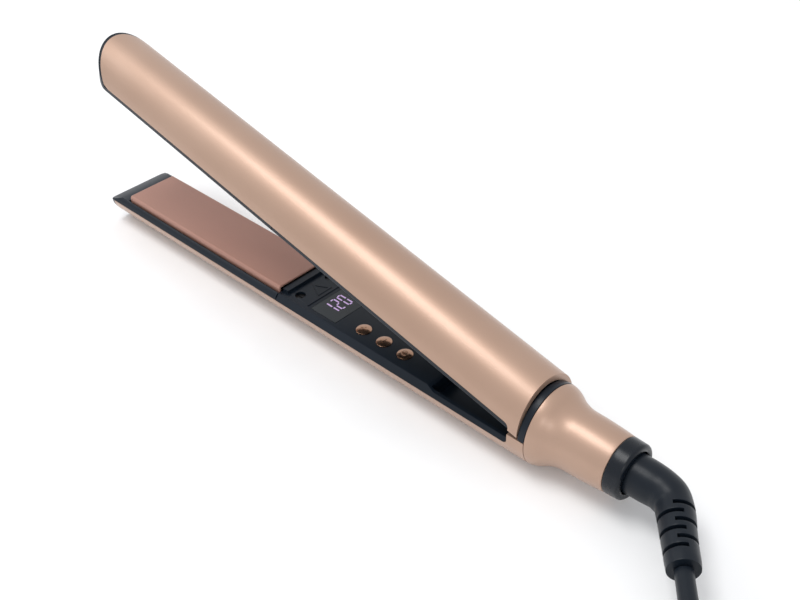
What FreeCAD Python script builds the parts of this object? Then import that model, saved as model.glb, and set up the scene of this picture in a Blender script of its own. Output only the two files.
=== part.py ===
import FreeCAD, Part
import math
import os
import re

# Flat iron (hair straightener) with its cord put away behind it.
# The arms are drawn closed, about the hinge pin: X runs towards the cord, the tip points to -X,
# Y runs along the pin and Z is up. Each finished piece is then lifted so that the flat under the
# lower shell lies on Z = 0, and the upper arm is turned open about the pin.

V = FreeCAD.Vector
doc = FreeCAD.newDocument("flat_iron")
sheet = doc.addObject("Spreadsheet::Sheet", "dims")

SIZES = {
    "axis_height": 17.4,      # pin above the surface the iron lies on
    "open_angle": 13.5,       # sprung opening of the arms
    "shell_radius": 15.8,
    "shell_wall": 1.6,
    "lower_drop": 2.0,        # centre of the lower shell, below the pin
    "tip_centre": 237.7,      # centre of the rounded tip, ahead of the pin
    "tip_radius": 15.8,
    "nose_end": 250.1,        # straight end of the lower arm, ahead of the pin
    "nose_corner": 3.0,
    "tip_lip": 1.5,           # how far the carrier's nose stands past the shell
    "lower_bevel": 242.3,     # where the lead-in bevel of each tip begins
    "upper_bevel": 237.0,
    "split_front": 130.0,     # joint between plate carrier and rear panel
    "panel_rear": 6.6,
    "lower_edge": 5.3,        # top edge of the lower shell, below the pin
    "upper_edge": 2.8,        # bottom edge of the upper shell, above the pin
    "panel_depth": 2.6,       # control panel below the closing plane
    "upper_rim": 0.4,         # rim of the upper arm above the closing plane
    "plate_front": 236.9,
    "plate_length": 106.6,
    "plate_width": 25.0,
    "plate_wall": 1.2,
    "plate_skirt": 3.9,
    "closed_gap": 0.15,       # plate face to closing plane
    "plate_travel": 0.6,
    "pocket_half": 13.2,
    "pocket_depth": 4.6,
    "hollow_radius": 12.6,
    "carrier_radius": 14.1,
    "holder_depth": 6.3,
    "cushion_depth": 9.6,
    "cushion_radius": 4.0,
    "cushion_one": 222.0,
    "cushion_two": 145.0,
    "screw_at": 122.0,
    "screw_side": 8.3,
    "screw_head": 2.1,
    "window_front": 112.2,
    "window_length": 14.5,
    "window_half": 11.4,
    "window_step": 0.8,
    "digit_tall": 7.9,
    "digit_wide": 2.7,
    "digit_pitch": 3.75,
    "digit_bar": 0.62,
    "button_radius": 3.175,
    "button_side": -6.7,
    "button_first": 86.3,
    "button_pitch": 11.2,
    "button_travel": 0.8,
    "trough_front": 44.5,
    "pin_radius": 1.5,
    "pin_half": 11.7,
    "pin_fit": 0.05,
    "ring_front": 2.0,
    "ring_rear": 0.7,
    "tongue_front": 5.4,
    "tongue_radius": 13.4,
    "neck_front": 0.8,
    "neck_rear": 29.5,
    "collar_rear": 35.8,
    "collar_bore": 7.9,
    "relief_front": 31.0,
    "relief_bend": 43.9,
    "relief_turn": 51.0,
    "relief_bend_radius": 13.0,
    "relief_straight": 23.7,
    "cord_diameter": 6.2,
    "hank_front": 104.0,
    "hank_rear": 240.0,
    "hank_middle": -30.0,
    "hank_width": 43.0,
    "hank_bottom": 0.9,
    "hank_height": 12.6,
    "tie_at": 150.0,
    "tie_width": 8.0,
    "tie_wall": 0.8,
    "plug_rear": 199.0,
    "plug_length": 31.0,
    "plug_width": 26.0,
    "plug_height": 13.7,
    "plug_pin_radius": 2.0,
    "plug_pin_length": 19.0,
    "plug_pin_spacing": 19.0,
}
for row, (alias, value) in enumerate(SIZES.items(), start=1):
    sheet.set("A%d" % row, alias)
    sheet.set("B%d" % row, str(value))
    sheet.setAlias("B%d" % row, alias)
doc.recompute()


def size(alias):
    """A size as it stands on the sheet."""
    return float(getattr(sheet, alias))


def bind(piece, prop, text):
    """Tie a property to the sheet; the text may use any of its names."""
    piece.setExpression(prop, re.sub(r"[a-z][a-z_]+", lambda m: "dims." + m.group(0), text))


PARTS = []


def place(piece, label, arm):
    """Name a finished piece and set it on the lower arm, on the upper arm or on the ground."""
    if piece.TypeId in ("Part::Box", "Part::Cylinder"):
        piece.Label = label + "_blank"
        piece = group(label + "_set", [piece])
    piece.Label = label
    if arm == "upper":
        piece.Placement = FreeCAD.Placement(V(0, 0, 0), FreeCAD.Rotation(V(0, 1, 0), 1))
        bind(piece, "Placement.Rotation.Angle", "open_angle")
    if arm != "ground":
        bind(piece, "Placement.Base.z", "axis_height")
    PARTS.append(piece)


def outline(*steps):
    """Closed outline: a step is a corner (x, y) or an arc (middle x, middle y, end x, end y)."""
    pieces = []
    here = steps[0]
    for step in steps[1:] + (steps[0],):
        end = step[-2:]
        if len(step) == 4:
            pieces.append(Part.Arc(V(*here), V(step[0], step[1]), V(*end)))
        elif math.dist(here, end) > 1e-6:
            pieces.append(Part.LineSegment(V(*here), V(*end)))
        here = end
    return pieces


def circle(x, y, radius):
    """Round outline."""
    return [Part.Circle(V(x, y), V(0, 0, 1), radius)]


def rect(x0, x1, y0, y1):
    """Four-sided outline."""
    return outline((x0, y0), (x1, y0), (x1, y1), (x0, y1))


def new_body(name):
    """An empty body."""
    return doc.addObject("PartDesign::Body", name)


def sketch(body, plane, at, *outlines):
    """Sketch on one of the body's own planes, moved along the plane's normal."""
    drawing = body.newObject("Sketcher::SketchObject", body.Name + "_sketch")
    face = [item for item in body.Origin.OriginFeatures if item.Role == plane + "_Plane"][0]
    drawing.AttachmentSupport = (face, "")
    drawing.MapMode = "FlatFace"
    bind(drawing, "AttachmentOffset.Base.z", at)
    for pieces in outlines:
        for piece in pieces:
            drawing.addGeometry(piece, False)
    return drawing


def pad(body, plane, at, length, *outlines):
    """Add material from the sketch along its normal."""
    step = body.newObject("PartDesign::Pad", body.Name + "_pad")
    step.Profile = sketch(body, plane, at, *outlines)
    bind(step, "Length", length)
    doc.recompute()


def pocket(body, plane, at, depth, *outlines):
    """Take material away from the sketch against its normal, and see that some went."""
    before = body.Shape.Volume
    step = body.newObject("PartDesign::Pocket", body.Name + "_pocket")
    step.Profile = sketch(body, plane, at, *outlines)
    bind(step, "Length", depth)
    doc.recompute()
    if body.Shape.Volume >= before:
        raise ValueError("empty pocket in " + body.Name)


def revolve(body, drawing, axis):
    """Turn a sketch once round its own axis."""
    step = body.newObject("PartDesign::Revolution", body.Name + "_turn")
    step.Profile = drawing
    step.ReferenceAxis = (drawing, [axis])
    step.Angle = 360
    doc.recompute()


def cut(name, base, tool):
    """One piece less another."""
    result = doc.addObject("Part::Cut", name)
    result.Base = base
    result.Tool = tool
    return result


def fuse(name, pieces):
    """Several touching pieces as one."""
    result = doc.addObject("Part::MultiFuse", name)
    result.Shapes = pieces
    return result


def group(name, pieces):
    """Several separate solids under one name."""
    result = doc.addObject("Part::Compound", name)
    result.Links = pieces
    return result


def block(name, x, y, z, length, width, height):
    """Box with its low corner and sides given as texts over the sheet."""
    result = doc.addObject("Part::Box", name)
    for prop, text in zip(("Length", "Width", "Height"), (length, width, height)):
        bind(result, prop, text)
    for axis, text in zip("xyz", (x, y, z)):
        bind(result, "Placement.Base." + axis, text)
    return result


def rod(name, direction, x, y, z, radius, length):
    """Cylinder from a point along a direction."""
    result = doc.addObject("Part::Cylinder", name)
    result.Placement = FreeCAD.Placement(V(0, 0, 0), FreeCAD.Rotation(V(0, 0, 1), V(*direction)))
    bind(result, "Radius", radius)
    bind(result, "Height", length)
    for axis, text in zip("xyz", (x, y, z)):
        bind(result, "Placement.Base." + axis, text)
    return result


def on_ring(radius, centre, z):
    """Half width of a round section at a height."""
    return math.sqrt(radius ** 2 - (z - centre) ** 2)


def half_ring(centre, side, edge, outer, inner):
    """Section of half a tube that ends at a level edge."""
    wide = on_ring(outer, centre, edge)
    narrow = on_ring(inner, centre, edge)
    crown = centre + side * outer
    bore = centre + side * inner
    return outline((wide, edge), (0, crown, -wide, edge), (-narrow, edge), (0, bore, narrow, edge))


def trim_tip(body, arm, shift):
    """Trim a body to its tip, seen from above: square below, round above."""
    if arm == "lower":
        end = shift - size("nose_end")
        r = size("nose_corner")
        side = RADIUS - r
        bow = r * (1 - math.sqrt(0.5))
        pocket(body, "XY", "30", "60", outline(
            (end + r, 20), (end + r, RADIUS), (end + bow, RADIUS - bow, end, side), (end, -side),
            (end + bow, bow - RADIUS, end + r, -RADIUS), (end + r, -20), (end - 24, -20),
            (end - 24, 20)))
    else:
        middle = shift - size("tip_centre")
        radius = size("tip_radius")
        pocket(body, "XY", "30", "60", outline(
            (middle, 20), (middle, radius), (middle - radius, 0, middle, -radius),
            (middle, -20), (middle - 24, -20), (middle - 24, 20)))


def bevel_tip(body, arm, level):
    """Lead-in bevel on the inner face of the tip, seen from the side."""
    side = -1 if arm == "lower" else 1
    start = -size(arm + "_bevel")
    drop = 18 * math.tan(math.radians(18.4 if arm == "lower" else 14))
    pocket(body, "XZ", "30", "60", outline(
        (start, level), (start - 18, level + side * drop), (start - 18, -side * 3),
        (start, -side * 3)))


# ---------------------------------------------------------------- shells
RADIUS = size("shell_radius")
WALL = size("shell_wall")
DROP = size("lower_drop")
PAN = -size("panel_depth")
RIM = size("upper_rim")

for arm, side, centre, edge, seam in (("lower", -1, -DROP, -size("lower_edge"), -0.3),
                                      ("upper", 1, 0.0, size("upper_edge"), 0.3)):
    shell = new_body(arm + "_shell")
    pad(shell, "YZ", "-tip_centre - tip_radius - 1", "tip_centre + tip_radius + 1 + ring_rear",
        half_ring(centre, side, seam, RADIUS, RADIUS - WALL))
    if arm == "upper":
        pad(shell, "YZ", "-6.4", "7.4 + ring_rear",
            half_ring(centre, side, 3, RADIUS - 0.1, RADIUS - 2.5))
    trim_tip(shell, arm, size("tip_lip"))
    notch = -size("panel_rear")
    corner = min(2.2, abs(edge - seam))
    pocket(shell, "XZ", "30", "60", outline(
        (notch, -side), (notch, edge - side * corner),
        (notch - 0.3 * corner, edge - side * 0.3 * corner, notch - corner, edge),
        (-260, edge), (-260, -side)))
    bevel_tip(shell, arm, edge - side * (0.0 if side > 0 else 2.7))
    if arm == "lower":
        pocket(shell, "XY", "-axis_height", "2", rect(-260, 5, -10, 10))
    else:
        lean = math.tan(math.radians(size("open_angle")))
        foot = -2.3 / math.cos(math.radians(size("open_angle")))
        pocket(shell, "XZ", "30", "60", outline(
            (foot + lean, -1), (foot - 18 * lean, 18), (9, 18), (9, -1)))
    place(shell, arm + "_shell", arm)

    # Room that the shell takes out of the carrier inside it.
    room = new_body(arm + "_shell_room")
    pad(room, "YZ", "-tip_centre - tip_radius - 1", "tip_centre + tip_radius + 3",
        half_ring(centre, side, edge - side * 0.15, 19, size("carrier_radius")))
    trim_tip(room, arm, size("tip_lip") - 0.05)

    # Carrier round the heating plate, closed at the nose.
    carrier = new_body(arm + "_carrier_block")
    if arm == "lower":
        section = outline((13.5, PAN), (14.7, -3.5), (15.41, -5.0), (0, -17.7, -15.41, -5.0),
                          (-14.7, -3.5), (-13.5, PAN))
    else:
        section = outline((14.6, RIM), (15.25, 0.65, 15.5, 1.3), (15.47, 2.65),
                          (0, 15.7, -15.47, 2.65), (-15.5, 1.3), (-15.25, 0.65, -14.6, RIM))
    pad(carrier, "YZ", "-tip_centre - tip_radius - 1",
        "tip_centre + tip_radius + 1 - split_front - 0.15", section)
    trim_tip(carrier, arm, 0)
    bevel_tip(carrier, arm, PAN if side < 0 else RIM)
    if arm == "lower":
        pocket(carrier, "XY", "0.1 - axis_height", "2", rect(-260, 5, -10, 10))
    half = size("pocket_half")
    plate_room = rect(-size("plate_front") - 0.7, -100, -half, half)
    if arm == "lower":
        pocket(carrier, "XY", "0", "pocket_depth", plate_room)
    else:
        pocket(carrier, "XY", "pocket_depth", "pocket_depth", plate_room)
    deep = side * (size("pocket_depth") - 0.1)
    bore = size("hollow_radius")
    wide = on_ring(bore, centre, deep)
    pocket(carrier, "YZ", "-split_front", "108.5",
           outline((wide, deep), (0, centre + side * bore, -wide, deep)))
    ribs = [rect(-size(at) - 5, -size(at) + 5, -4.2, 4.2) for at in ("cushion_one", "cushion_two")]
    pad(carrier, "XY", "-14.6" if arm == "lower" else "cushion_depth",
        "14.6 - cushion_depth" if arm == "lower" else "12.9 - cushion_depth", *ribs)
    place(cut(arm + "_carrier", carrier, room), arm + "_carrier", arm)

# ---------------------------------------------------------------- heating plates
for arm, side in (("lower", -1), ("upper", 1)):
    half = size("plate_width") / 2
    face = side * size("closed_gap")
    inner = side * (size("closed_gap") + size("plate_wall"))
    roll = face + side * 1.3
    skirt = side * size("plate_skirt")
    plate = new_body(arm + "_plate")
    pad(plate, "YZ", "-plate_front", "plate_length", outline(
        (half - 1.3, face), (half - 0.38, face + side * 0.38, half, roll), (half, skirt),
        (half - 1.1, skirt), (half - 1.1, inner), (1.1 - half, inner), (1.1 - half, skirt),
        (-half, skirt), (-half, roll), (0.38 - half, face + side * 0.38, 1.3 - half, face)))
    place(plate, arm + "_plate", arm)

    heater = new_body(arm + "_heater")
    pad(heater, "YZ", "-plate_front + 11", "plate_length - 22",
        rect(-6.5, 6.5, inner, side * 4.85))
    place(heater, arm + "_heater", arm)

    holder = new_body(arm + "_plate_holder")
    floor = side * size("holder_depth")
    pad(holder, "YZ", "-plate_front + 3", "plate_length - 6", outline(
        (11.2, inner), (8.5, inner), (8.5, side * 4.85), (-8.5, side * 4.85), (-8.5, inner),
        (-11.2, inner), (-11.2, side * 3.9), (-10.2, side * 4.6), (-10.2, floor), (10.2, floor),
        (10.2, side * 4.6), (11.2, side * 3.9)))
    window = rect(-200, -180, -4, 4)
    pocket(holder, "XY", "holder_depth + 1" if side > 0 else "-4", "holder_depth - 1", window)
    place(holder, arm + "_plate_holder", arm)

    cushions = [rod(arm + "_cushion_" + at, (0, 0, 1), "-cushion_" + at, "0",
                    "-cushion_depth" if side < 0 else "holder_depth",
                    "cushion_radius", "cushion_depth - holder_depth")
                for at in ("one", "two")]
    place(group(arm + "_cushions", cushions), arm + "_cushions", arm)

    bead = rod(arm + "_thermistor", (1, 0, 0), "-197", "-2", "%g" % (side * 5.75), "0.9", "7")
    place(bead, arm + "_thermistor", arm)

    leads = [rod(arm + "_lead_%d" % n, (1, 0, 0), "-228", "%g" % across,
                 "-11.8" if side < 0 else "10.3", "0.9", "210")
             for n, across in enumerate((-5.4, 5.4))]
    place(group(arm + "_leads", leads), arm + "_leads", arm)

fuse_can = rod("thermal_fuse", (1, 0, 0), "-199", "2", "-6.1", "1.25", "10")
place(fuse_can, "thermal_fuse", "lower")

# ---------------------------------------------------------------- control panel
RADIUS_IN = 12.5
OUT = size("carrier_radius")
panel = new_body("control_panel")
pad(panel, "YZ", "0.15 - split_front", "split_front - 0.15 - panel_rear", outline(
    (13.3, PAN), (15.5, -5.15), (on_ring(OUT, -DROP, -5.15), -5.15),
    (on_ring(OUT, -DROP, -7), -7, on_ring(OUT, -DROP, -9), -9),
    (on_ring(RADIUS_IN, -DROP, -9), -9),
    (on_ring(RADIUS_IN, -DROP, -6.5), -6.5, on_ring(RADIUS_IN, -DROP, -4.2), -4.2),
    (-on_ring(RADIUS_IN, -DROP, -4.2), -4.2),
    (-on_ring(RADIUS_IN, -DROP, -6.5), -6.5, -on_ring(RADIUS_IN, -DROP, -9), -9),
    (-on_ring(OUT, -DROP, -9), -9),
    (-on_ring(OUT, -DROP, -7), -7, -on_ring(OUT, -DROP, -5.15), -5.15),
    (-15.5, -5.15), (-13.3, PAN)))
# Step down of the rim, and the open trough behind it with its floor and front wall.
pocket(panel, "XZ", "30", "60", outline(
    (-46.3, PAN), (-42.3, -3.7), (-5, -3.7), (-5, 0), (-46.3, 0)))
pocket(panel, "XZ", "30", "60", outline(
    (-6.75, -3.2), (-7.35, -4.65, -8.8, -5.25), (-8.8, -5.4), (-5, -5.4), (-5, -3.2)))
TROUGH = -size("trough_front")
pocket(panel, "XY", "0", "4.3", rect(TROUGH, -5, -12.9, 12.9))
pad(panel, "XY", "-10", "1.4", rect(TROUGH, -size("panel_rear"), -11, 11))
pad(panel, "XY", "-10", "6", rect(TROUGH - 1.5, TROUGH, -11, 11))
pad(panel, "XY", "-10", "7.3", rect(-13.5, -10.5, 1.2, 4.6))
# Stop bar behind the plate, a low cross rib and a plain raised triangle.
pad(panel, "XY", "-panel_depth - 0.5", "1.8", rect(-129.5, -126.5, -11, 11))
pad(panel, "XY", "-panel_depth - 0.5", "0.8", rect(-114.9, -114.1, -11, 11))
pad(panel, "XY", "-panel_depth - 0.5", "0.7",
    outline((-123.8, 0), (-116.1, -3.8), (-116.1, 3.8)),
    outline((-122.2, 0), (-116.9, -2.6), (-116.9, 2.6)))
# Screw bosses with their counterbores.
SCREW = -size("screw_at")
SIDE = size("screw_side")
pad(panel, "XY", "-6.2", "2.5", *[circle(SCREW, s * (SIDE - 0.9), 3.2) for s in (-1, 1)])
pocket(panel, "XY", "0", "5", *[circle(SCREW, s * SIDE, 2.25) for s in (-1, 1)])
pocket(panel, "XY", "0", "8", *[circle(SCREW, s * SIDE, 1.15) for s in (-1, 1)])
# Opening of the display window, with a ledge under the pane.
W0 = -size("window_front")
W1 = W0 + size("window_length")
HALF = size("window_half")
STEP = size("window_step")
pocket(panel, "XY", "0", "3.8", rect(W0 - 0.15, W1 + 0.15, -HALF - 0.15, HALF + 0.15))
pocket(panel, "XY", "0", "5", rect(W0 + STEP, W1 - STEP, STEP - HALF, HALF - STEP))
# Three button holes.
BUTTONS = [-size("button_first") + size("button_pitch") * n for n in range(3)]
ROW = size("button_side")
pocket(panel, "XY", "0", "5", *[circle(at, ROW, size("button_radius") + 0.1) for at in BUTTONS])
place(panel, "control_panel", "lower")

pane = block("display_window", "-window_front", "-window_half", "-3.8", "window_length",
             "2 * window_half", "1.3")
place(pane, "display_window", "lower")

module = block("display_module", "-window_front + window_step + 0.2", "-10", "-7.8",
               "window_length - 2 * window_step - 0.4", "20", "3.7")
place(module, "display_module", "lower")

# Lit bars of the three digits: the tops of the digits point to the tip.
TALL = size("digit_tall")
WIDE = size("digit_wide")
BAR = size("digit_bar")
DIGITS = ("bc", "abged", "abcdef")
bars = []
for n, lit in enumerate(DIGITS):
    y0 = -2.3 + (n - 1) * size("digit_pitch") - WIDE / 2
    x0 = -105.9 - TALL / 2
    half = TALL / 2
    spots = {"a": (x0, y0, 0), "g": (x0 + half - BAR / 2, y0, 0), "d": (x0 + TALL - BAR, y0, 0),
             "f": (x0, y0, 1), "b": (x0, y0 + WIDE - BAR, 1),
             "e": (x0 + half, y0, 1), "c": (x0 + half, y0 + WIDE - BAR, 1)}
    for name in lit:
        x, y, along = spots[name]
        long_way, short_way = (half - 0.9, BAR) if along else (BAR, WIDE - 1.5)
        x = x + 0.45 if along else x
        y = y if along else y + 0.75
        bars.append(block("bar_%d%s" % (n, name), "%g" % x, "%g" % y, "-4.1",
                          "%g" % long_way, "%g" % short_way, "0.2"))
place(group("display_digits", bars), "display_digits", "lower")

board = block("circuit_board", "-118", "-9.6", "-9.3", "64", "19.2", "1.5")
place(board, "circuit_board", "lower")

switches = [block("switch_%d" % n, "%g" % (at - 2.25), "button_side - 2.25", "-7.8",
                  "4.5", "4.5", "2") for n, at in enumerate(BUTTONS)]
place(group("tact_switches", switches), "tact_switches", "lower")

# ---------------------------------------------------------------- buttons
MARKS = {"plus": ((-1.3, -0.25, 2.6, 0.5), (-0.25, -1.3, 0.5, 2.6)),
         "minus": ((-0.25, -1.3, 0.5, 2.6),),
         "power": ((-1.6, -0.2, 1.7, 0.4),)}
for at, (name, marks) in zip(BUTTONS, MARKS.items()):
    cap = new_body(name + "_cap")
    r = size("button_radius")
    profile = sketch(cap, "XZ", "0", outline(
        (0, -4.9), (3.9, -4.9), (3.9, -4.3), (r, -4.3), (r, -2.35), (0.55 * r, -1.98, 0, -1.85)))
    revolve(cap, profile, "V_Axis")
    pieces = [cap]
    for n, (x, y, lx, ly) in enumerate(marks):
        pieces.append(block("%s_mark_%d" % (name, n), "%g" % x, "%g" % y, "-2.6",
                            "%g" % lx, "%g" % ly, "0.9"))
    if name == "power":
        loop = doc.addObject("Part::Torus", "power_ring")
        loop.Radius1 = 1.25
        loop.Radius2 = 0.2
        loop.Placement.Base.z = -1.93
        pieces.append(loop)
    button = fuse("button_" + name, pieces)
    button.Placement.Base = V(at, ROW, 0)
    place(button, "button_" + name, "lower")

# ---------------------------------------------------------------- upper arm inner cover
cover = new_body("upper_cover_block")
pad(cover, "YZ", "0.15 - split_front", "split_front - 0.15 - panel_rear - 0.1", outline(
    (14.6, RIM), (15.25, 0.65, 15.5, 1.3), (15.47, 2.65), (on_ring(OUT, 0, 2.65), 2.65),
    (on_ring(OUT, 0, 5.5), 5.5, on_ring(OUT, 0, 8), 8), (on_ring(RADIUS_IN, 0, 8), 8),
    (on_ring(RADIUS_IN, 0, 5.5), 5.5, on_ring(RADIUS_IN, 0, 2.8), 2.8),
    (-on_ring(RADIUS_IN, 0, 2.8), 2.8),
    (-on_ring(RADIUS_IN, 0, 5.5), 5.5, -on_ring(RADIUS_IN, 0, 8), 8),
    (-on_ring(OUT, 0, 8), 8), (-on_ring(OUT, 0, 5.5), 5.5, -on_ring(OUT, 0, 2.65), 2.65),
    (-15.47, 2.65), (-15.5, 1.3), (-15.25, 0.65, -14.6, RIM), (-12.6, RIM), (-12.6, 1.2),
    (12.6, 1.2), (12.6, RIM)))
pocket(cover, "XZ", "30", "60", outline(
    (-6.75, 0.7), (-7.35, 2.15, -8.8, 2.75), (-8.8, 2.9), (-5, 2.9), (-5, 0.7)))
pad(cover, "XY", "2.7", "2.5", *[circle(SCREW, s * (SIDE - 0.9), 3.2) for s in (-1, 1)])
pocket(cover, "XY", "3.9", "5", *[circle(SCREW, s * SIDE, 2.25) for s in (-1, 1)])
pocket(cover, "XY", "6", "8", *[circle(SCREW, s * SIDE, 1.15) for s in (-1, 1)])
lug = outline((-20, 2), (-20, 5.5), (-12, 5.5), (-4, 3.3), (0, 3.4), (3.4, 0, 0, -3.4),
              (-3, -3.2), (-9, 1.3))
pad(cover, "XZ", "5.9", "3", lug)
pad(cover, "XZ", "-8.9", "3", lug)
pocket(cover, "XZ", "12", "24", circle(0, 0, size("pin_radius") + size("pin_fit")))
place(cover, "upper_inner_cover", "upper")

for arm, side in (("lower", -1), ("upper", 1)):
    screws = []
    for n, s in enumerate((-1, 1)):
        seat = "-5" if side < 0 else "3.9 - 1.4"
        shank = "-12" if side < 0 else "3"
        head = rod("%s_head_%d" % (arm, n), (0, 0, 1), "-screw_at", "%d * screw_side" % s,
                   seat, "screw_head", "1.4")
        stem = rod("%s_stem_%d" % (arm, n), (0, 0, 1), "-screw_at", "%d * screw_side" % s,
                   shank, "1.1", "8" if side < 0 else "7")
        slot = block("%s_slot_%d" % (arm, n), "-screw_at - 1.4", "%d * screw_side - 0.25" % s,
                     "-4.1" if side < 0 else "2.4", "2.8", "0.5", "0.7")
        body = fuse("%s_screw_blank_%d" % (arm, n), [head, stem])
        screws.append(cut("%s_screw_%d" % (arm, n), body, slot))
    place(group(arm + "_screws", screws), arm + "_screws", arm)

# ---------------------------------------------------------------- hinge
ring = new_body("hinge_ring")
pad(ring, "YZ", "-ring_front", "ring_front + ring_rear",
    half_ring(-DROP, 1, 0, RADIUS, 11.8))
pad(ring, "YZ", "-tongue_front", "tongue_front - ring_front + 0.1",
    half_ring(-DROP, 1, 0.6, size("tongue_radius"), 11.8))
EAR = outline((-3.4, -3.5), (3.6, -3.5), (3.6, 3), (-3.4, 3))
pad(ring, "XZ", "9.4", "2.3", EAR)
pad(ring, "XZ", "-11.7", "2.3", EAR)
pocket(ring, "XZ", "14", "28", circle(0, 0, size("pin_radius")))
place(ring, "hinge_ring", "lower")

pin = rod("hinge_pin", (0, 1, 0), "0", "-pin_half", "0", "pin_radius", "2 * pin_half")
place(pin, "hinge_pin", "lower")

# Torsion spring: coil round the pin, one leg on the trough's rest, one under the upper cover.
WIRE = 0.5
COIL = 2.15
SPRING = 5.85
bead = Part.Wire(Part.makeCircle(WIRE, V(COIL, 0, 0), V(0, 1, 0)))
wound = doc.addObject("Part::Feature", "spring_coil")
wound.Shape = Part.makeHelix(1.3, SPRING, COIL).makePipeShell([bead], True, True)
legs = [rod("spring_leg_low", (0, -1, 0), "%g" % COIL, "-0.05", "0", "0.5", "13.4"),
        rod("spring_leg_high", (0, -1, 0), "%g" % -COIL, "-0.05", "%g" % SPRING, "0.5", "11")]
spring = group("spring_blank", [wound] + legs)
spring.Placement = FreeCAD.Placement(
    V(0, SPRING / 2, 0), FreeCAD.Rotation(V(0, 0, -1), V(1, 0, 0), V(0, -1, 0), "XYZ"))
place(group("torsion_spring", [spring]), "torsion_spring", "lower")

# ---------------------------------------------------------------- neck, collar and swivel
neck = new_body("rear_neck")
drawing = sketch(neck, "XZ", "0", outline(
    (0.8, 15.8), (3.3, 15.15, 5.4, 14.05), (8.7, 12.45, 13, 11.6), (21, 11.35, 29.5, 10.7),
    (29.5, 9.2), (21, 9.7, 13, 10.0), (8, 11.2, 4.2, 13.1), (0.8, 13.2)))
bind(drawing, "AttachmentOffset.Base.y", "-lower_drop")
doc.recompute()
revolve(neck, drawing, "H_Axis")
pad(neck, "YZ", "-5", "6.5", half_ring(-DROP, -1, -5.3, 14.1, 13.2))
pocket(neck, "XY", "-axis_height", "2", rect(0, 12, -10, 10))
place(neck, "rear_neck", "lower")

collar = new_body("end_collar")
drawing = sketch(collar, "XZ", "0", outline(
    (29.55, 10.7), (34.4, 10.5), (35.4, 10.1, 35.8, 9.1), (35.8, 8.4), (35.5, 7.9), (25, 7.9),
    (25, 9.1), (29.55, 9.1)))
bind(drawing, "AttachmentOffset.Base.y", "-lower_drop")
doc.recompute()
revolve(collar, drawing, "H_Axis")
place(collar, "end_collar", "lower")

hub = fuse("swivel_hub", [
    rod("hub_disc", (1, 0, 0), "22", "0", "-lower_drop", "8.8", "2.5"),
    rod("hub_stem", (1, 0, 0), "24", "0", "-lower_drop", "7.45", "relief_front - 24")])
place(hub, "swivel_hub", "lower")

holder = rod("contact_block", (1, 0, 0), "14", "0", "-lower_drop", "9.6", "4")
place(holder, "contact_block", "lower")
rings = []
for n, (outer, inner) in enumerate(((4.2, 3.0), (7.4, 6.2))):
    disc = rod("contact_disc_%d" % n, (1, 0, 0), "18", "0", "-lower_drop", "%g" % outer, "0.6")
    hole = rod("contact_hole_%d" % n, (1, 0, 0), "17", "0", "-lower_drop", "%g" % inner, "3")
    rings.append(cut("contact_track_%d" % n, disc, hole))
place(group("contact_rings", rings), "contact_rings", "lower")
brushes = [rod("brush_%d" % n, (1, 0, 0), "18.65", "%g" % across, "-lower_drop", "0.5", "3.35")
           for n, across in enumerate((3.6, -6.8))]
place(group("contact_brushes", brushes), "contact_brushes", "lower")

# Strain relief: tapered rubber tube, bent once, with six cuts that meet past the middle.
BEND = size("relief_bend")
ROUND = size("relief_bend_radius")
TURN = math.radians(size("relief_turn"))
LONG = size("relief_straight")


def relief_point(along):
    """Point and heading on the middle line, by length from the start of the bend."""
    if along <= 0:
        return V(BEND + along, 0, -DROP), 0.0
    angle = min(along / ROUND, TURN)
    rest = max(along - ROUND * TURN, 0)
    x = BEND + ROUND * math.sin(angle) + rest * math.cos(angle)
    y = -ROUND * (1 - math.cos(angle)) - rest * math.sin(angle)
    return V(x, y, -DROP), angle


BENT = ROUND * TURN
stations = [(size("relief_front") - BEND, 7.45), (-7.5, 7.45), (0, 7.2), (BENT / 3, 6.95),
            (2 * BENT / 3, 6.65), (BENT, 6.35), (BENT + LONG / 3, 6.0),
            (BENT + 2 * LONG / 3, 5.7), (BENT + LONG, 5.4)]
hoops = []
for n, (along, radius) in enumerate(stations):
    point, angle = relief_point(along)
    hoop = doc.addObject("Part::Circle", "relief_hoop_%d" % n)
    hoop.Radius = radius
    turn = FreeCAD.Rotation(V(0, 0, 1), V(math.cos(angle), -math.sin(angle), 0))
    hoop.Placement = FreeCAD.Placement(point, turn)
    hoops.append(hoop)
taper = doc.addObject("Part::Loft", "relief_taper")
taper.Sections = hoops
taper.Solid = True
slots = []
for n in range(6):
    point, angle = relief_point(BENT + 0.9 + 3.3 * n)
    side = 1 if n % 2 == 0 else -1
    outer = doc.addObject("Part::Box", "relief_slot_%d" % n)
    outer.Length = 1.5
    outer.Width = 9
    outer.Height = 18
    turn = FreeCAD.Rotation(V(0, 0, 1), -math.degrees(angle))
    corner = point + turn.multVec(V(0, -1.6 if side > 0 else -7.4, -9))
    outer.Placement = FreeCAD.Placement(corner, turn)
    core = doc.addObject("Part::Cylinder", "relief_core_%d" % n)
    core.Radius = 4.0
    core.Height = 4
    along = V(math.cos(angle), -math.sin(angle), 0)
    core.Placement = FreeCAD.Placement(point - along, FreeCAD.Rotation(V(0, 0, 1), along))
    slots.append(cut("relief_cut_%d" % n, outer, core))
relief = cut("strain_relief", taper, fuse("relief_cuts", slots))
place(relief, "strain_relief", "lower")

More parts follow.
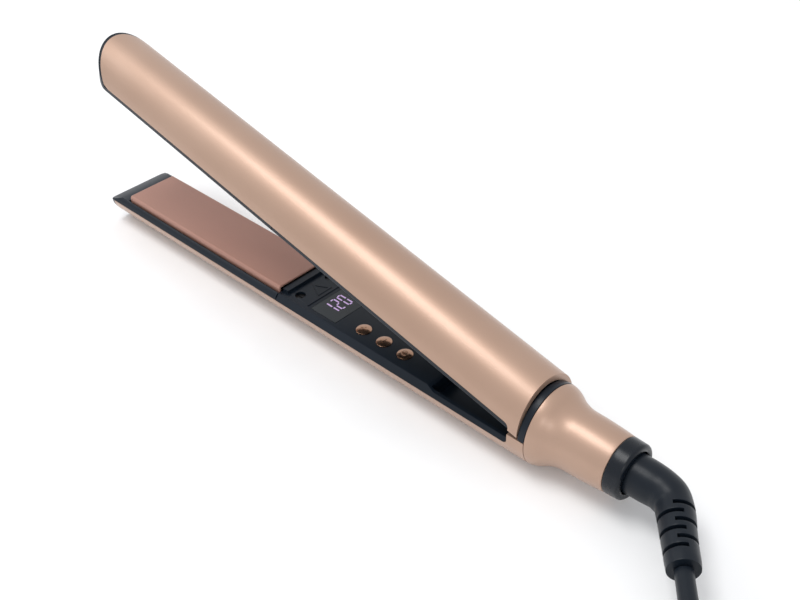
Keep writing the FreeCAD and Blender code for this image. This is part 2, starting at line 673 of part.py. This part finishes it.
# ---------------------------------------------------------------- cord and plug
CORD = size("cord_diameter")
end, angle = relief_point(BENT + LONG)
HEAD = V(math.cos(angle), -math.sin(angle), 0)
START = end + HEAD * 0.6 + V(0, 0, size("axis_height"))
NEAR = size("hank_middle") - 18.4
LOW = size("hank_bottom") + 0.5 * CORD
HIGH = LOW + 6.3
first = START + HEAD * 20
TUBE = [START, first, V(first.x + 19.1, NEAR, 9.8), V(119, NEAR, LOW), V(134, NEAR, LOW)]
MIDDLE = size("hank_middle")
PLUG = size("plug_rear")
TOP = size("hank_bottom") + size("hank_height") + size("plug_height") / 2 + 0.05
OVER = NEAR + 6.3
TAIL = [V(112, OVER, HIGH + 0.7), V(134, OVER, HIGH + 7.1), V(156, OVER + 3, HIGH + 7.3),
        V(178, MIDDLE - 1.2, TOP - 0.6), V(PLUG, MIDDLE, TOP)]


def cord_line(points):
    """Straight runs joined by arcs that touch both; prints the radius of each bend."""
    pieces = []
    here = points[0]
    for before, corner, after in zip(points, points[1:], points[2:]):
        back = before - corner
        on = after - corner
        turn = math.pi - back.getAngle(on)
        reach = 0.45 * min(back.Length, on.Length)
        radius = reach / math.tan(turn / 2)
        print("bend radius %.1f mm, turn %.0f degrees" % (radius, math.degrees(turn)))
        back.normalize()
        on.normalize()
        begin = corner + back * reach
        finish = corner + on * reach
        inward = back + on
        inward.normalize()
        middle = corner + inward * (radius / math.cos(turn / 2) - radius)
        pieces.append(Part.LineSegment(here, begin).toShape())
        pieces.append(Part.Arc(begin, middle, finish).toShape())
        here = finish
    pieces.append(Part.LineSegment(here, points[-1]).toShape())
    return Part.Wire(pieces)


for name, points in (("cord_tube", TUBE), ("cord_tail", TAIL)):
    path = cord_line(points)
    ahead = points[1] - points[0]
    disc = Part.Wire(Part.makeCircle(CORD / 2, points[0], ahead))
    tube = doc.addObject("Part::Feature", name)
    tube.Shape = path.makePipeShell([disc], True, True)
    ideal = path.Length * math.pi * CORD ** 2 / 4
    print("%s length %.1f mm, volume %.0f of %.0f" % (name, path.Length, tube.Shape.Volume, ideal))
    place(tube, name, "ground")

RUN0 = size("hank_front")
RUN1 = size("hank_rear")
BOW = size("hank_width") / 2
hank = new_body("hank_block")
pad(hank, "XY", "hank_bottom", "hank_height", outline(
    (RUN0 + BOW, MIDDLE - BOW), (RUN1 - BOW, MIDDLE - BOW),
    (RUN1, MIDDLE, RUN1 - BOW, MIDDLE + BOW), (RUN0 + BOW, MIDDLE + BOW),
    (RUN0, MIDDLE, RUN0 + BOW, MIDDLE - BOW)))
stack = hank.Tip
soft = hank.newObject("PartDesign::Fillet", "hank_edges")
rims = ["Edge%d" % (n + 1) for n, edge in enumerate(stack.Shape.Edges)
        if abs(edge.Vertexes[0].Z - edge.Vertexes[-1].Z) < 1e-6]
soft.Base = (stack, rims)
soft.Radius = 2.8
hank.Tip = soft
doc.recompute()
place(hank, "cord_hank", "ground")

strap = new_body("tie_band")
TIE = size("tie_wall")
T0 = size("hank_bottom")
T1 = T0 + size("hank_height")
pad(strap, "YZ", "tie_at", "tie_width",
    rect(MIDDLE - BOW - TIE, MIDDLE + BOW + TIE, T0 - TIE, T1 + TIE),
    rect(MIDDLE - BOW - 0.02, MIDDLE + BOW + 0.02, T0 - 0.02, T1 + 0.02))
place(strap, "cord_tie", "ground")

body = new_body("plug_shell")
P1 = size("plug_length")
PW = size("plug_width") / 2
pad(body, "XY", "hank_bottom + hank_height + 0.05", "plug_height", outline(
    (PLUG, MIDDLE - 5), (PLUG + 9, MIDDLE - 7), (PLUG + 21, MIDDLE - PW), (PLUG + P1, MIDDLE - PW),
    (PLUG + P1, MIDDLE + PW), (PLUG + 21, MIDDLE + PW), (PLUG + 9, MIDDLE + 7), (PLUG, MIDDLE + 5)))
place(body, "plug_body", "ground")
HALF_PINS = size("plug_pin_spacing") / 2
pins = [rod("plug_pin_%d" % n, (1, 0, 0), "plug_rear + plug_length", "hank_middle + %g" % across,
            "%g" % TOP, "plug_pin_radius", "plug_pin_length")
        for n, across in enumerate((-HALF_PINS, HALF_PINS))]
place(group("plug_pins", pins), "plug_pins", "ground")

# ---------------------------------------------------------------- check and write
doc.recompute()
faults = [item.Name for item in doc.Objects if "Invalid" in item.State or "Error" in item.State]
if faults:
    raise ValueError("not built: " + ", ".join(faults))
os.makedirs("parts", exist_ok=True)
for piece in PARTS:
    shape = piece.Shape
    if shape.isNull() or not shape.isValid() or not shape.Solids:
        raise ValueError("bad shape: " + piece.Label)
    box = shape.BoundBox
    print("%-20s %2d solids %9.1f mm3  X %7.1f %7.1f  Y %6.1f %6.1f  Z %6.1f %6.1f" % (
        piece.Label, len(shape.Solids), shape.Volume,
        box.XMin, box.XMax, box.YMin, box.YMax, box.ZMin, box.ZMax))
    shape.exportStep("parts/%s.step" % piece.Label)
print(len(PARTS), "nodes")
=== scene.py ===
# %% [markdown]
# # A hair straightener with its cord put away
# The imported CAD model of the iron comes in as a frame: every piece is already in its place and
# already belongs to a body that moves. The iron lies on the flat under its lower arm, the tip
# points to -X and the cord leaves at +X. This lesson gives the pieces their finishes and edges,
# lays the cord, and sets up a camera, a floor and soft lights.

# %% Load the frame
import math

import bmesh
import bpy
from mathutils import Matrix, Vector


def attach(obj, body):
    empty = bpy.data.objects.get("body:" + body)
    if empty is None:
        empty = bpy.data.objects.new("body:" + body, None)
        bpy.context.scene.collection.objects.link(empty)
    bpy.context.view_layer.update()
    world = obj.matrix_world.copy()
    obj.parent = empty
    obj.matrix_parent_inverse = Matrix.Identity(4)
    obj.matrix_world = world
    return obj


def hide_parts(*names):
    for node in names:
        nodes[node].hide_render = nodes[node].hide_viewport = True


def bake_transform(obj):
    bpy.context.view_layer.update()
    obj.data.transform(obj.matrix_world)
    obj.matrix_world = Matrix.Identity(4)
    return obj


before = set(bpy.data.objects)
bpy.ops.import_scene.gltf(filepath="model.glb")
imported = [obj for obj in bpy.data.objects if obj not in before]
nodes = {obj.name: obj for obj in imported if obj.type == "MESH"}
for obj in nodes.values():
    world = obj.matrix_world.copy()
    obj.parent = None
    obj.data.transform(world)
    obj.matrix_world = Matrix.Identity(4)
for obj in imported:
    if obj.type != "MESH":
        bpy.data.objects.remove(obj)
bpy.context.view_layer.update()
scene = bpy.context.scene

# %% [markdown]
# ## Camera
# The camera comes first, because every later choice is judged through it. It stands high on the
# cord side and looks down along the iron. Three directions fix its turn exactly: where its right
# side points, where its top points, and what lies behind it.

# %% Camera
RIGHT = Vector((0.71699, 0.69612, -0.03696))
UP = Vector((-0.40471, 0.45884, 0.79101))
BACK = Vector((0.56758, -0.55218, 0.61069))
camera = bpy.data.objects.new("camera", bpy.data.cameras.new("camera"))
scene.collection.objects.link(camera)
turn = Matrix((RIGHT, UP, BACK)).transposed()
camera.matrix_world = Matrix.Translation((0.15863, -0.22450, 0.28122)) @ turn.to_4x4()
camera.data.lens = 48.39
camera.data.sensor_width = 36
camera.data.clip_start = 0.01
scene.camera = camera
print("camera", [round(v, 3) for v in camera.location])

# %% [markdown]
# ## Small tools for finishes
# A real surface is never one flat colour. Each finish below starts from the same shader and gets
# its colour, roughness and fine relief from noise that sits in the object's own coordinates, so
# the pattern stays with the piece when it moves.

# %% Finish maker
def link(tree, source, target):
    """Join two sockets."""
    tree.links.new(source, target)


RAMP_ENDS = (0.35, 0.65)


def ramp(tree, source, low, high):
    """Colour ramp between two colours, driven by a noise value."""
    node = tree.nodes.new("ShaderNodeValToRGB")
    for element, place, colour in zip(node.color_ramp.elements, RAMP_ENDS, (low, high)):
        element.position = place
        element.color = (*colour, 1)
    link(tree, source, node.inputs["Fac"])
    return node.outputs["Color"]


def noise(tree, scale, detail=4.0, stretch=(1, 1, 1)):
    """Noise in object coordinates, measured in metres."""
    place = tree.nodes.new("ShaderNodeTexCoord")
    mapping = tree.nodes.new("ShaderNodeMapping")
    mapping.inputs["Scale"].default_value = stretch
    node = tree.nodes.new("ShaderNodeTexNoise")
    node.inputs["Scale"].default_value = scale
    node.inputs["Detail"].default_value = detail
    link(tree, place.outputs["Object"], mapping.inputs["Vector"])
    link(tree, mapping.outputs["Vector"], node.inputs["Vector"])
    return node.outputs["Fac"]


RELIEF_HEIGHT = 0.0002


def finish(name, low, high, rough=(0.3, 0.4), metal=0.0, grain=900, bump=0.05, coat=0.0,
           coat_rough=0.1, broad=25, shine=0.5, stretch=(1, 1, 1)):
    """A finish whose colour, roughness and relief all vary a little.

    broad and grain are the scales of the slow colour change and of the fine relief.
    """
    material = bpy.data.materials.new(name)
    material.use_nodes = True
    tree = material.node_tree
    shader = tree.nodes["Principled BSDF"]
    link(tree, ramp(tree, noise(tree, broad, 3, stretch), low, high), shader.inputs["Base Color"])
    fine = noise(tree, grain, 5, stretch)
    spread = tree.nodes.new("ShaderNodeMapRange")
    spread.inputs["To Min"].default_value = rough[0]
    spread.inputs["To Max"].default_value = rough[1]
    link(tree, fine, spread.inputs["Value"])
    link(tree, spread.outputs["Result"], shader.inputs["Roughness"])
    relief = tree.nodes.new("ShaderNodeBump")
    relief.inputs["Strength"].default_value = bump
    relief.inputs["Distance"].default_value = RELIEF_HEIGHT
    link(tree, fine, relief.inputs["Height"])
    link(tree, relief.outputs["Normal"], shader.inputs["Normal"])
    shader.inputs["Metallic"].default_value = metal
    shader.inputs["Specular IOR Level"].default_value = shine
    shader.inputs["Coat Weight"].default_value = coat
    shader.inputs["Coat Roughness"].default_value = coat_rough
    return material


print("finish maker ready")

# %% [markdown]
# ## Finishes seen from outside
# The shells are moulded plastic under a rose-gold pearl paint: part metal, part varnish. Fine
# flakes keep the highlight soft. The carriers, the panel and the ring are blue-black satin plastic,
# the collar and the plug a smoother black. The plates carry a matt copper-brown coating, drawn
# out a little along the iron, and the button caps are a brighter copper.
#
# Paint could also be two materials mixed by Fresnel. One shader with a coat gives the same look
# and exports as it is.

# %% Outside finishes
pearl = finish("pearl_gold", (0.42, 0.27, 0.195), (0.47, 0.315, 0.235), rough=(0.36, 0.46), metal=0.55,
               grain=2600, bump=0.10, coat=0.35, coat_rough=0.22, broad=12)
satin = finish("satin_black", (0.004, 0.008, 0.014), (0.007, 0.012, 0.020), rough=(0.26, 0.36),
               grain=1800, bump=0.06, shine=0.25)
gloss = finish("gloss_black", (0.002, 0.004, 0.008), (0.004, 0.007, 0.012), rough=(0.24, 0.32),
               grain=600, bump=0.02, shine=0.3)
copper = finish("plate_coating", (0.36, 0.19, 0.145), (0.41, 0.22, 0.17), rough=(0.36, 0.46), metal=0.2,
                grain=1500, bump=0.05, stretch=(0.3, 1, 1))
cap_metal = finish("button_metal", (0.40, 0.225, 0.14), (0.50, 0.29, 0.19), rough=(0.16, 0.24), metal=0.95,
                   grain=1200, bump=0.02, coat=0.4, coat_rough=0.06)
rubber = finish("cord_rubber", (0.003, 0.006, 0.011), (0.006, 0.010, 0.016), rough=(0.30, 0.42),
                grain=1400, bump=0.08, shine=0.25)
print("outside:", [item.name for item in (pearl, satin, gloss, copper, cap_metal, rubber)])

# %% [markdown]
# ## Finishes of the inside
# Apart from the screw heads and the plug pins, these are seen only when the iron is taken apart:
# steel, blackened screws, nickel-plated brass, the film of the heaters, red silicone, heat-proof
# mouldings, the pale sleeve of the leads and the green board. Each is the same noise-driven
# shader, because a shared recipe keeps pieces that are rarely seen from looking out of place.

# %% Inside finishes
steel = finish("steel", (0.46, 0.46, 0.47), (0.58, 0.58, 0.59), rough=(0.22, 0.36), metal=1.0, bump=0.04)
screw_black = finish("screw_black", (0.02, 0.02, 0.022), (0.035, 0.035, 0.037), rough=(0.35, 0.5),
                     metal=0.8)
brass = finish("nickel_brass", (0.62, 0.55, 0.40), (0.72, 0.66, 0.52), rough=(0.16, 0.28), metal=1.0)
ceramic = finish("heater_film", (0.50, 0.27, 0.07), (0.60, 0.35, 0.10), rough=(0.25, 0.4))
silicone = finish("silicone", (0.45, 0.07, 0.04), (0.55, 0.10, 0.06), rough=(0.5, 0.6))
moulding = finish("inner_moulding", (0.012, 0.012, 0.013), (0.020, 0.020, 0.021), rough=(0.5, 0.65))
sleeve = finish("lead_sleeve", (0.48, 0.46, 0.41), (0.60, 0.58, 0.52), rough=(0.5, 0.6))
board = finish("circuit_board", (0.008, 0.06, 0.02), (0.015, 0.10, 0.035), rough=(0.3, 0.4), grain=400)
print(len(bpy.data.materials), "finishes in all")

# %% [markdown]
# ## Edges and smooth faces
# CAD faces meet in perfectly sharp edges, and nothing moulded does. A CAD mesh is loose
# triangles, so a Weld modifier joins them first. A Bevel modifier then rounds the sharp edges, and
# Weighted Normal keeps the flat faces flat in the shading. Cutting the roundings into the mesh
# would also work, but modifiers leave the CAD vertices untouched.

# %% Dress the CAD pieces
SHARP = math.radians(32)
SEAM_GAP = 0.000002


def dress(names, material, edge=0.0003):
    """Give pieces a finish, smooth shading and, where edge isn't 0, narrow rounded edges."""
    for name in names:
        piece = nodes[name]
        piece.data.materials.clear()
        piece.data.materials.append(material)
        for face in piece.data.polygons:
            face.use_smooth = True
            face.material_index = 0
        if edge:
            seam = piece.modifiers.new("seam", "WELD")
            seam.merge_threshold = SEAM_GAP
            rounding = piece.modifiers.new("rounding", "BEVEL")
            rounding.width = edge
            rounding.segments = 2
            rounding.limit_method = "ANGLE"
            rounding.angle_limit = SHARP
            shading = piece.modifiers.new("shading", "WEIGHTED_NORMAL")
            shading.weight = 100


dress(["upper_shell", "lower_shell", "rear_neck"], pearl, 0.0004)
dress(["lower_carrier", "upper_carrier"], satin)
dress(["control_panel", "upper_inner_cover", "hinge_ring"], satin)
dress(["end_collar", "display_module", "tact_switches", "cord_tie", "plug_body"], gloss, 0.0004)
dress(["lower_plate", "upper_plate"], copper, 0.0004)
dress(["button_plus", "button_minus", "button_power"], cap_metal, 0.00012)
dress(["strain_relief"], rubber, 0.0002)
dress(["lower_screws", "upper_screws"], screw_black, 0.0001)
dress(["hinge_pin", "torsion_spring"], steel, 0)
dress(["contact_rings", "contact_brushes", "plug_pins"], brass, 0)
dress(["lower_heater", "upper_heater"], ceramic, 0)
dress(["lower_cushions", "upper_cushions"], silicone, 0)
dress(["lower_plate_holder", "upper_plate_holder", "swivel_hub", "contact_block"], moulding, 0)
dress(["lower_leads", "upper_leads", "lower_thermistor", "upper_thermistor", "thermal_fuse"], sleeve, 0)
dress(["circuit_board"], board, 0)
print("dressed", sum(1 for piece in nodes.values() if len(piece.data.materials) == 1), "pieces")

# %% [markdown]
# ## Display
# The pane is dark polished plastic that lets through only the light behind it. The lit bars sit
# on the module below, and what is seen is their light on the face of the pane, so here the bars
# are lifted to that face. They glow a soft lilac.

# %% Display pane and digits
pane = finish("dark_pane", (0.010, 0.015, 0.018), (0.014, 0.019, 0.023), rough=(0.06, 0.10), grain=300,
              bump=0.01, shine=0.4)
lit = finish("lit_bars", (0.52, 0.36, 0.66), (0.60, 0.42, 0.72), rough=(0.3, 0.4))
glow = lit.node_tree.nodes["Principled BSDF"]
glow.inputs["Emission Color"].default_value = (0.55, 0.38, 0.68, 1)
glow.inputs["Emission Strength"].default_value = 0.4
dress(["display_window"], pane, 0.0002)

# %% Lit bars on the face of the pane
PANE_LIFT = 0.00145
lit_mesh = bpy.data.meshes.new("lit_digits")
bars = bmesh.new()
bars.from_mesh(nodes["display_digits"].data)
bmesh.ops.translate(bars, verts=bars.verts, vec=(0, 0, PANE_LIFT))
bars.to_mesh(lit_mesh)
bars.free()
lit_mesh.materials.clear()
lit_mesh.materials.append(lit)
digits = bpy.data.objects.new("lit_digits", lit_mesh)
scene.collection.objects.link(digits)
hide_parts("display_digits")
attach(digits, "lower_arm")
print("digits top", round(max(vertex.co.z for vertex in lit_mesh.vertices), 5))

# %% [markdown]
# ## Cord
# The cord leaves the strain relief, sinks to the table and goes round and round in a flat hank:
# two layers of three turns, then up over the top to the plug. One NURBS curve through a line of
# points carries a round section. A simulated cord would settle into the same hank only by luck,
# so the turns are laid by a loop, and the few free points at each end are listed one by one.

# %% Route of the cord
EXIT = Vector((0.06930, -0.02370, 0.01540))
MIDDLE = -0.0300
END_NEAR = 0.1255
END_FAR = 0.2185
LOW = 0.0040
STEP = 0.0063
TURN_POINTS = 12


def half_turn(x, radii, heights, first):
    """Points of a half turn about (x, MIDDLE); radius and height run between two values."""
    found = []
    for n in range(1, TURN_POINTS + 1):
        t = n / (TURN_POINTS + 1)
        r = radii[0] + (radii[1] - radii[0]) * t
        z = heights[0] + (heights[1] - heights[0]) * t
        a = math.radians(first + 180 * t)
        found.append(Vector((x + r * math.cos(a), MIDDLE + r * math.sin(a), z)))
    return found


def straight(x0, x1, y, z):
    """Six points of a straight stretch along X."""
    return [Vector((x0 + (x1 - x0) * n / 5, y, z)) for n in range(6)]


print("hank from x", END_NEAR, "to", END_FAR)


# %% Lay the turns
route = [EXIT, EXIT + Vector((0.0063, -0.0078, 0)), EXIT + Vector((0.0126, -0.0155, 0)),
         Vector((0.0900, -0.0443, 0.0135)), Vector((0.1005, -0.0478, 0.0098)),
         Vector((0.1100, -0.0484, 0.0066)), Vector((0.1185, -0.0484, 0.0044))]
LAYERS = [(0.0184, LOW), (0.0121, LOW), (0.0058, LOW),
          (0.0058, LOW + STEP), (0.0121, LOW + STEP), (0.0184, LOW + STEP)]
for n, (r, z) in enumerate(LAYERS):
    route += straight(END_NEAR, END_FAR, MIDDLE - r, z)
    route += half_turn(END_FAR, (r, r), (z, z), -90)
    route += straight(END_FAR, END_NEAR, MIDDLE + r, z)
    if n < len(LAYERS) - 1:
        after, height = LAYERS[n + 1]
        route += half_turn(END_NEAR, (r, after), (z, height), 90)
TOP = LOW + 2 * STEP
rise = half_turn(END_NEAR, (0.0184, 0.0184), (LOW + STEP, TOP + 0.0063), 90)[:6]
route += rise
route += half_turn(END_NEAR, (0.0247, 0.0121), (TOP, TOP), 90)[6:]
route += [Vector((0.1255, -0.0421, TOP)), Vector((0.1380, -0.0421, 0.0173)),
          Vector((0.1560, -0.0391, 0.0176)), Vector((0.1780, -0.0312, 0.0198)),
          Vector((0.1890, -0.0302, 0.0202)), Vector((0.1992, -0.0300, 0.0204))]
print(len(route), "points on the cord")


# %% Cord as a tube
def curve_object(name, points, radius):
    """NURBS curve that follows the points, with a round section."""
    curve = bpy.data.curves.new(name, "CURVE")
    curve.dimensions = "3D"
    curve.resolution_u = 4
    curve.bevel_depth = radius
    curve.bevel_resolution = 4
    curve.use_fill_caps = radius > 0
    spline = curve.splines.new("NURBS")
    spline.points.add(len(points) - 1)
    for point, place in zip(spline.points, points):
        point.co = (*place, 1)
    spline.order_u = 3
    spline.use_endpoint_u = True
    return bpy.data.objects.new(name, curve)


CORD = 0.0062
middle = bpy.data.meshes.new_from_object(curve_object("cord_line", route, 0))
cord_mesh = bpy.data.meshes.new_from_object(curve_object("cord_round", route, CORD / 2))
cord = bpy.data.objects.new("power_cord", cord_mesh)
scene.collection.objects.link(cord)
cord_mesh.materials.append(rubber)
for face in cord_mesh.polygons:
    face.use_smooth = True
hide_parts("cord_tube", "cord_hank", "cord_tail")
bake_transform(cord)

# %% [markdown]
# ## Floor and light
# The iron lies on a plain pale sheet. A soft lamp hangs above it, a little towards the near side,
# and draws the long highlight on the round shells. Two weaker ones, from the cord side and from
# the tip side, and a bright even surround lift the shadows. An image of a studio could light it
# too, but lamps are easier to move one by one.

# %% Floor
FLOOR_HALF = 3
FLOOR_SINK = 0.0002
ground = bpy.data.meshes.new("floor")
sheet = bmesh.new()
bmesh.ops.create_grid(sheet, x_segments=2, y_segments=2, size=FLOOR_HALF)
sheet.to_mesh(ground)
sheet.free()
floor = bpy.data.objects.new("floor", ground)
floor.location = (0, 0, -FLOOR_SINK)
scene.collection.objects.link(floor)
paper = finish("floor_paper", (0.90, 0.90, 0.90), (0.92, 0.92, 0.92), rough=(0.6, 0.7),
               bump=0.0, shine=0.2)
ground.materials.append(paper)
print("floor", 2 * FLOOR_HALF, "m wide")


# %% Lights
def lamp(name, place, target, size, power):
    """Soft rectangular lamp aimed at a point; size is its length and its width."""
    data = bpy.data.lights.new(name, "AREA")
    data.shape = "RECTANGLE"
    data.size = size[0]
    data.size_y = size[1]
    data.energy = power
    item = bpy.data.objects.new(name, data)
    item.location = place
    item.rotation_mode = "QUATERNION"
    item.rotation_quaternion = (Vector(target) - Vector(place)).to_track_quat("-Z", "Y")
    scene.collection.objects.link(item)


AIM = (-0.08, 0, 0.04)
lamp("overhead", (-0.30, -0.22, 1.1), AIM, (0.60, 0.40), 5.0)
lamp("camera_side", (0.6, -0.7, 0.7), AIM, (0.3, 0.3), 1.0)
lamp("tip_side", (-0.9, -0.3, 0.7), AIM, (0.4, 0.4), 1.0)
world = bpy.data.worlds.new("studio")
world.use_nodes = True
world.node_tree.nodes["Background"].inputs["Color"].default_value = (0.97, 0.98, 1.0, 1)
world.node_tree.nodes["Background"].inputs["Strength"].default_value = 0.85
scene.world = world
scene.view_settings.view_transform = "Standard"
print("lamps", [item.name for item in bpy.data.lights])
